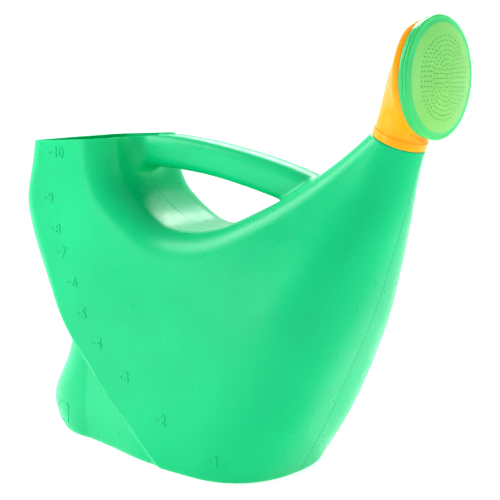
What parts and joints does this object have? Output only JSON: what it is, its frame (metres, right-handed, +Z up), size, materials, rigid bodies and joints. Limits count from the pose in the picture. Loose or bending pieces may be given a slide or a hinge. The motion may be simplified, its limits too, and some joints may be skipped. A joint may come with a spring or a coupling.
{
  "type": "watering can",
  "caption": "Blow-moulded plastic watering can with an open mouth, a hollow arched handle, a wedge spout and a removable perforated rose.",
  "frame": {"origin": "centre of the base, on the surface the can stands on", "axes": "+Z up, +X towards the spout, +Y to the left when looking along +X; the can is symmetric about the plane Y = 0"},
  "size_m": [0.4438, 0.147, 0.4065],
  "materials": {
    "tank_plastic": "satin translucent green polyethylene",
    "adapter_plastic": "glossy opaque yellow-orange",
    "cap_plastic": "glossy translucent green"
  },
  "bodies": {
    "can": {"tank": "tank_plastic"},
    "rose": {"rose_adapter": "adapter_plastic"},
    "cap": {"rose_cap": "cap_plastic"}
  },
  "joints": [
    {"name": "rose_turn", "type": "hinge", "parent": "can", "child": "rose", "pos_m": [0.2485, 0, 0.3033], "axis": [0.342, 0, 0.9397], "continuous": true},
    {"name": "rose_cap_pull", "type": "slide", "parent": "rose", "child": "cap", "axis": [1, 0, 0], "range_m": [0, 0.025]}
  ]
}
